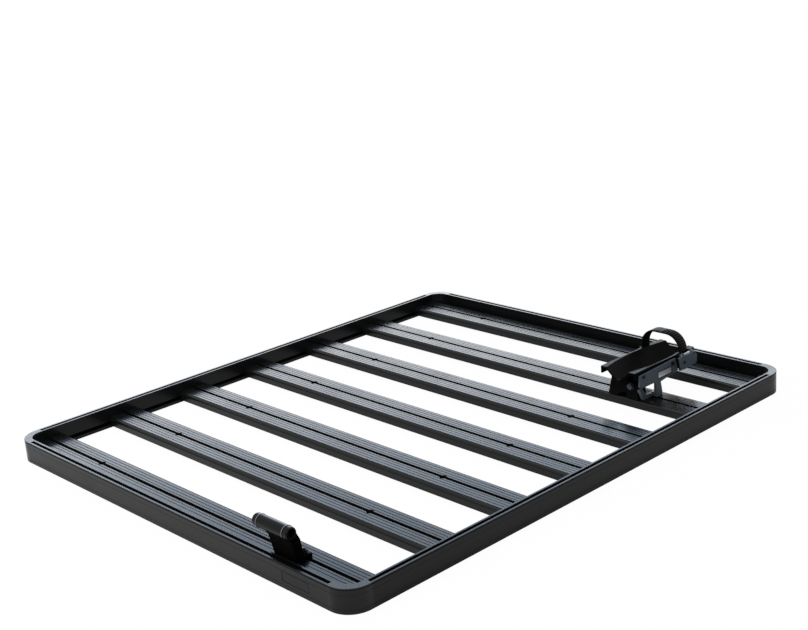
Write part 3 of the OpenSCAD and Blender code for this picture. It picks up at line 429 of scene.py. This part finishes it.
# rounds those sharp edges of a piece that the test takes
def roundEdges(piece, sharpness, takes, width, segments):
    bpy.ops.object.mode_set(mode="EDIT")
    bpy.ops.mesh.select_mode(type="EDGE")
    bpy.ops.mesh.select_all(action="DESELECT")
    bpy.ops.mesh.edges_select_sharp(sharpness=math.radians(sharpness))
    bpy.ops.object.mode_set(mode="OBJECT")
    for face in piece.data.polygons:
        face.select = False  # a face still selected would bring all its edges back
    for edge in piece.data.edges:
        edge.select = edge.select and takes(edge)
    bpy.ops.object.mode_set(mode="EDIT")
    bpy.ops.mesh.bevel(offset=width * mm, segments=segments, affect="EDGES")
    bpy.ops.object.mode_set(mode="OBJECT")
    smoothRounds(piece)


# Turned pieces: all their sharp edges are broken, by these widths in mm
turnedRounds = {"fork_barrel": 0.6, "adapter_left": 0.5, "adapter_right": 0.5}
turnedEdge = {"sharpness": 34, "segments": 3}
for name, width in turnedRounds.items():
    piece = cleanCopy(name, "_rounded")
    rounding = piece.modifiers.new("rounding", "BEVEL")
    rounding.width = width * mm
    rounding.segments = turnedEdge["segments"]
    rounding.limit_method = "ANGLE"
    rounding.angle_limit = math.radians(turnedEdge["sharpness"])
    bpy.ops.object.modifier_apply(modifier="rounding")
    smoothRounds(piece)
    standFor(piece, name)
print("edges broken on", len(turnedRounds), "turned pieces")

# Cast, moulded and folded pieces: their long edges are rounded, by these widths in mm.
# Edges that meet one shorter than four widths, as at bores and arcs, stay sharp.
edgeRounds = {
    "fork_bracket": 1.2, "holder_base": 1.2, "wheel_cradle": 0.8, "side_bracket": 0.4, "ratchet_lever": 0.5,
    "buckle_frame": 0.4, "strap_anchor": 0.3,
}
longEdge = {"sharpness": 50, "widths": 4, "segments": 3}
for name, width in edgeRounds.items():
    piece = cleanCopy(name, "_rounded")
    places = [corner.co for corner in piece.data.vertices]
    shortest = [math.inf] * len(places)
    for edge in piece.data.edges:
        length = (places[edge.vertices[0]] - places[edge.vertices[1]]).length
        for i in edge.vertices:
            shortest[i] = min(shortest[i], length)
    least = longEdge["widths"] * width * mm
    roundEdges(piece, longEdge["sharpness"],
               lambda edge: all(shortest[i] > least for i in edge.vertices),
               width, longEdge["segments"])
    standFor(piece, name)
print("edges rounded on", len(edgeRounds), "pieces")

# The drawn edges along the slots and grooves on top of the rails and slats: a small round that catches light.
# The edges across their ends stay as they are. In mm and degrees.
slotEdges = {"railTop": 50, "slatTop": 27, "near": 0.01, "round": 0.5, "segments": 2, "sharpness": 60}
slotted = {name: slotEdges["railTop"] for name in railNames}
slotted.update({name: slotEdges["slatTop"] for name in slatNames})
for name, top in slotted.items():
    piece = cleanCopy(name, "_drawn")
    along = 0 if piece.dimensions.x > piece.dimensions.y else 1
    places = [corner.co for corner in piece.data.vertices]
    end = max(abs(spot[along]) for spot in places)
    near = slotEdges["near"] * mm
    onTop = [abs(spot.z - top * mm) < near for spot in places]
    atEnd = [abs(spot[along]) > end - near for spot in places]
    roundEdges(piece, slotEdges["sharpness"],
               lambda edge: all(onTop[i] for i in edge.vertices) and not all(atEnd[i] for i in edge.vertices),
               slotEdges["round"], slotEdges["segments"])
    standFor(piece, name)
print("slot edges rounded on", len(slotted), "rails and slats")

# Ladder strap, in mm: a flat band bent over the wheel, ribs on its outer face and an eye on the anchor pin.
# Its x, y and z are measured from middle, on the holder.
strap = {
    "middle": (351, 511, 27), "side": 53, "low": 35, "top": 119, "bend": 38, "bendSteps": 18,
    "width": 28, "thick": 4, "edgeRound": 0.9, "edgeSegments": 3, "edgeAngle": 40, "smoothAngle": 35,
    "merge": 0.01, "eyeZ": 61, "eyeR": 4.5, "boreR": 2.1, "eyeSides": 40, "bandIntoEye": 3,
    "ribs": 20, "ribFirst": 5.55, "ribPitch": 6, "ribThick": 2.5, "ribHigh": 1.6, "ribWide": 22,
    "ribSunk": 0.6, "ribDraft": (1, 0.92, 0.6), "ribRound": 0.35, "ribSegments": 2, "rubbedDepth": 0.3,
}
facing = 0.9  # a face looks along an axis when its normal has more than this of it
midX, midY, midZ = strap["middle"]
bendZ = strap["top"] - strap["bend"]
flatX = strap["side"] - strap["bend"]


def strapPoint(x, z):
    return Vector((midX + x, midY, midZ + z)) * mm


# the band: one end face, drawn up, round, across, round and down to the eye
bpy.ops.mesh.primitive_plane_add(size=mm, location=strapPoint(strap["side"], strap["low"]))
band = bpy.context.object
band.name = "ladder_strap"
bpy.ops.object.mode_set(mode="EDIT")
bpy.ops.mesh.select_all(action="SELECT")
bpy.ops.transform.resize(value=(strap["thick"], strap["width"], 1))
bpy.ops.object.mode_set(mode="OBJECT")
bpy.ops.object.transform_apply(location=True, rotation=True, scale=True)
bpy.ops.object.mode_set(mode="EDIT")
bpy.ops.mesh.select_all(action="SELECT")
rise = bendZ - strap["low"]
fall = strap["eyeZ"] + strap["bandIntoEye"] - bendZ
quarterTurn = math.pi / 2
bpy.ops.mesh.extrude_region_move(TRANSFORM_OT_translate={"value": (0, 0, rise * mm)})
bpy.ops.mesh.spin(steps=strap["bendSteps"], angle=quarterTurn,
                  center=strapPoint(flatX, bendZ), axis=(0, 1, 0))
bpy.ops.mesh.extrude_region_move(TRANSFORM_OT_translate={"value": (-2 * flatX * mm, 0, 0)})
bpy.ops.mesh.spin(steps=strap["bendSteps"], angle=quarterTurn,
                  center=strapPoint(-flatX, bendZ), axis=(0, 1, 0))
bpy.ops.mesh.extrude_region_move(TRANSFORM_OT_translate={"value": (0, 0, fall * mm)})
bpy.ops.mesh.select_all(action="SELECT")
bpy.ops.mesh.remove_doubles(threshold=strap["merge"] * mm)
bpy.ops.mesh.normals_make_consistent(inside=False)
bpy.ops.object.mode_set(mode="OBJECT")
bandEdge = band.modifiers.new("bandEdge", "BEVEL")
bandEdge.width = strap["edgeRound"] * mm
bandEdge.segments = strap["edgeSegments"]
bandEdge.limit_method = "ANGLE"
bandEdge.angle_limit = math.radians(strap["edgeAngle"])
bpy.ops.object.modifier_apply(modifier="bandEdge")
bpy.ops.object.select_all(action="DESELECT")

# one rib with drafted sides, sunk a little into the band, then a copy at each pitch
bpy.ops.mesh.primitive_cube_add(size=1, location=(0, 0, 0))
rib = bpy.context.object
bpy.ops.object.mode_set(mode="EDIT")
bpy.ops.mesh.select_all(action="SELECT")
ribDeep = strap["ribHigh"] + strap["ribSunk"]
bpy.ops.transform.resize(value=(ribDeep * mm, strap["ribWide"] * mm, strap["ribThick"] * mm))
bpy.ops.transform.translate(value=((strap["ribHigh"] - strap["ribSunk"]) / 2 * mm, 0, 0))
bpy.ops.mesh.select_mode(type="FACE")
bpy.ops.mesh.select_all(action="DESELECT")
bpy.ops.object.mode_set(mode="OBJECT")
for face in rib.data.polygons:
    face.select = face.normal.x > facing
bpy.ops.object.mode_set(mode="EDIT")
bpy.ops.transform.resize(value=strap["ribDraft"])
bpy.ops.mesh.bevel(offset=strap["ribRound"] * mm, segments=strap["ribSegments"], affect="EDGES")
bpy.ops.object.mode_set(mode="OBJECT")
ribs = []
outerBend = strap["bend"] + strap["thick"] / 2
quarterLength = outerBend * quarterTurn
for count in range(strap["ribs"]):
    travel = strap["ribFirst"] + count * strap["ribPitch"]
    turned = min(max((travel - rise) / quarterLength, 0), 1) * quarterTurn
    past = max(travel - rise - quarterLength, 0)
    x = flatX + outerBend * math.cos(turned) - past
    z = bendZ + outerBend * math.sin(turned) if travel > rise else strap["low"] + travel
    ribCopy = rib.copy()
    ribCopy.data = rib.data.copy()
    bpy.context.scene.collection.objects.link(ribCopy)
    ribCopy.location = strapPoint(x, z)
    ribCopy.rotation_euler = (0, -turned, 0)
    ribs.append(ribCopy)
bpy.data.objects.remove(rib)

# the eye: a short tube, its bore opened by an inset at both ends
bpy.ops.mesh.primitive_cylinder_add(
    vertices=strap["eyeSides"], radius=strap["eyeR"] * mm, depth=strap["width"] * mm,
    location=strapPoint(-strap["side"], strap["eyeZ"]), rotation=(quarterTurn, 0, 0))
eye = bpy.context.object
bpy.ops.object.transform_apply(location=True, rotation=True, scale=True)
bpy.ops.object.mode_set(mode="EDIT")
bpy.ops.mesh.select_mode(type="FACE")
bpy.ops.mesh.select_all(action="DESELECT")
bpy.ops.object.mode_set(mode="OBJECT")
for face in eye.data.polygons:
    face.select = abs(face.normal.y) > facing
bpy.ops.object.mode_set(mode="EDIT")
bpy.ops.mesh.inset(thickness=(strap["eyeR"] - strap["boreR"]) * mm)
bpy.ops.mesh.bridge_edge_loops()
bpy.ops.object.mode_set(mode="OBJECT")

makeActive(band)
eye.select_set(True)
for ribCopy in ribs:
    ribCopy.select_set(True)
bpy.ops.object.join()
bpy.ops.object.transform_apply(location=True, rotation=True, scale=True)
bpy.ops.object.shade_smooth_by_angle(angle=math.radians(strap["smoothAngle"]))
standFor(band, "strap")


# how far a point stands out from the band's outer face, in mm
def standsOut(point):
    x = point.x / mm - midX
    z = point.z / mm - midZ
    if z < bendZ:
        return x - strap["side"] - strap["thick"] / 2
    if x < flatX:
        return z - strap["top"] - strap["thick"] / 2
    return math.hypot(x - flatX, z - bendZ) - outerBend


# the ribs' tops take the lighter elastomer: a painted highlight along each rib
band.data.materials.append(made["rubbedElastomer"])
for face in band.data.polygons:
    if standsOut(face.center) > strap["ribHigh"] - strap["rubbedDepth"]:
        face.material_index = 1
print("strap made with", len(ribs), "ribs")
